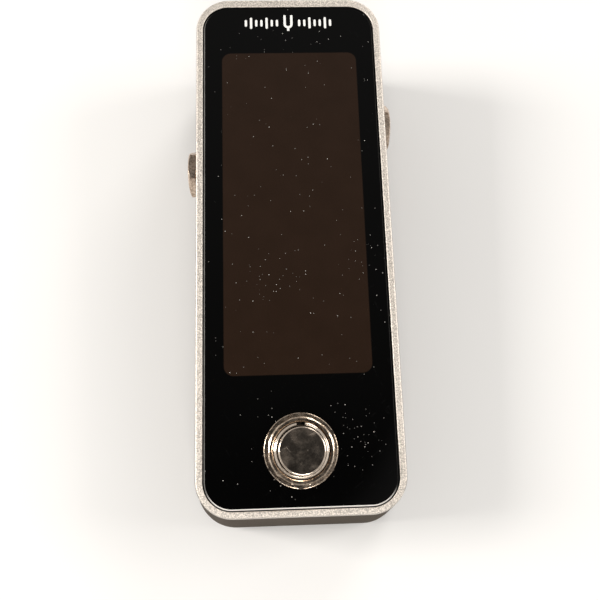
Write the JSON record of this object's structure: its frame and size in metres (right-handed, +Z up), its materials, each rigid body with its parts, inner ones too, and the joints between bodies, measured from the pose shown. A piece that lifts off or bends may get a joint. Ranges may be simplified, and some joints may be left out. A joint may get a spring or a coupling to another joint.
{
  "type": "pedal tuner",
  "caption": "Slim wedge-shaped pedal tuner: cast case, full-length black glass panel with a tall display window, latching footswitch, side jacks and rear power inlet.",
  "frame": {"origin": "on the floor under the middle of the case's footprint", "axes": "+Y from the footswitch end to the display end, +X to the player's right, +Z up; the front panel slopes 4.5 degrees down towards -Y"},
  "size_m": [0.0534, 0.13, 0.0379],
  "materials": {
    "cast_aluminium": "bead-blasted, fine grain, edges polished bright",
    "black_steel": "satin black powder coat",
    "steel": "zinc plated",
    "rubber": "matte",
    "smoked_lens": "clear, glossy, fine scratches and dust",
    "black_print": "black print behind the lens",
    "smoked_film": "smoked brown light-spreading film",
    "white_plastic": "moulded white",
    "circuit_board": "green solder mask",
    "black_plastic": "moulded black",
    "chrome": "bright nickel-chrome plating, fine scratches",
    "brass": "spring brass",
    "phenolic": "brown laminate",
    "grey_wire": "grey ribbon cable insulation"
  },
  "bodies": {
    "tuner_case": {"enclosure": "cast_aluminium", "base_plate": "black_steel", "base_screw_1": "steel", "base_screw_2": "steel", "base_screw_3": "steel", "base_screw_4": "steel", "board_screw_1": "steel", "board_screw_2": "steel", "board_screw_3": "steel", "board_screw_4": "steel", "timing_crystal": "steel", "power_jack_pin": "steel", "footswitch_lock_washer": "steel", "footswitch_inner_nut": "steel", "footswitch_spring": "steel", "footswitch_case": "steel", "rubber_foot_1": "rubber", "rubber_foot_2": "rubber", "rubber_foot_3": "rubber", "rubber_foot_4": "rubber", "front_lens": "smoked_lens", "lens_mask": "black_print", "display_film": "smoked_film", "light_grid": "white_plastic", "display_board": "circuit_board", "main_board": "circuit_board", "board_link": "black_plastic", "processor_chip": "black_plastic", "filter_capacitor": "black_plastic", "output_jack_body": "black_plastic", "input_jack_body": "black_plastic", "power_jack_body": "black_plastic", "calibration_switch": "black_plastic", "output_jack_bushing": "chrome", "output_jack_washer": "chrome", "output_jack_nut": "chrome", "input_jack_bushing": "chrome", "input_jack_washer": "chrome", "input_jack_nut": "chrome", "footswitch_washer": "chrome", "footswitch_nut": "chrome", "footswitch_bushing": "chrome", "solder_lug_1": "brass", "solder_lug_2": "brass", "solder_lug_3": "brass", "solder_lug_4": "brass", "solder_lug_5": "brass", "solder_lug_6": "brass", "footswitch_terminal_plate": "phenolic", "switch_ribbon": "grey_wire"},
    "footswitch_plunger": {"footswitch_button": "chrome", "footswitch_snap_ring": "steel"},
    "switch_actuator": {"footswitch_actuator": "white_plastic"},
    "left_rocker": {"contact_rocker_1": "brass"},
    "right_rocker": {"contact_rocker_2": "brass"},
    "calibration_key": {"calibration_button": "black_plastic"},
    "input_contact": {"input_tip_spring": "brass"},
    "output_contact": {"output_tip_spring": "brass"},
    "power_contact": {"power_jack_contact": "steel"}
  },
  "joints": [
    {"name": "footswitch_press", "type": "slide", "parent": "tuner_case", "child": "footswitch_plunger", "axis": [0, 0.0785, -0.9969], "range_m": [0, 0.0025], "stiffness_N_per_m": 6000, "springref_m": -0.0015, "deforming": ["footswitch_spring"]},
    {"name": "actuator_flip", "type": "hinge", "parent": "tuner_case", "child": "switch_actuator", "pos_m": [0, -0.04748, 0.01453], "axis": [1, 0, 0], "range_deg": [-16, 0]},
    {"name": "left_rocker_tilt", "type": "hinge", "parent": "tuner_case", "child": "left_rocker", "pos_m": [-0.0036, -0.04729, 0.01214], "axis": [1, 0, 0], "range_deg": [0, 14]},
    {"name": "right_rocker_tilt", "type": "hinge", "parent": "tuner_case", "child": "right_rocker", "pos_m": [0.0036, -0.04729, 0.01214], "axis": [1, 0, 0], "range_deg": [0, 14]},
    {"name": "calibration_press", "type": "slide", "parent": "tuner_case", "child": "calibration_key", "axis": [0, -0.9969, -0.0785], "range_m": [0, 0.0004], "stiffness_N_per_m": 3000, "springref_m": -0.0003},
    {"name": "input_contact_flex", "type": "hinge", "parent": "tuner_case", "child": "input_contact", "pos_m": [0.0096, 0.03595, 0.0238], "axis": [0, 0.9969, 0.0785], "range_deg": [0, 6], "stiffness_Nm_per_rad": 0.2, "springref_deg": -2.86},
    {"name": "output_contact_flex", "type": "hinge", "parent": "tuner_case", "child": "output_contact", "pos_m": [-0.0096, 0.02369, 0.02284], "axis": [0, -0.9969, -0.0785], "range_deg": [0, 6], "stiffness_Nm_per_rad": 0.2, "springref_deg": -2.86},
    {"name": "power_contact_flex", "type": "hinge", "parent": "tuner_case", "child": "power_contact", "pos_m": [0.0015, 0.05032, 0.0146], "axis": [-1, 0, 0], "range_deg": [0, 5], "stiffness_Nm_per_rad": 0.2, "springref_deg": -2.86}
  ],
  "couplings": [
    {"joint": "left_rocker_tilt", "follows": "actuator_flip", "ratio": -0.875},
    {"joint": "right_rocker_tilt", "follows": "actuator_flip", "ratio": -0.875}
  ]
}
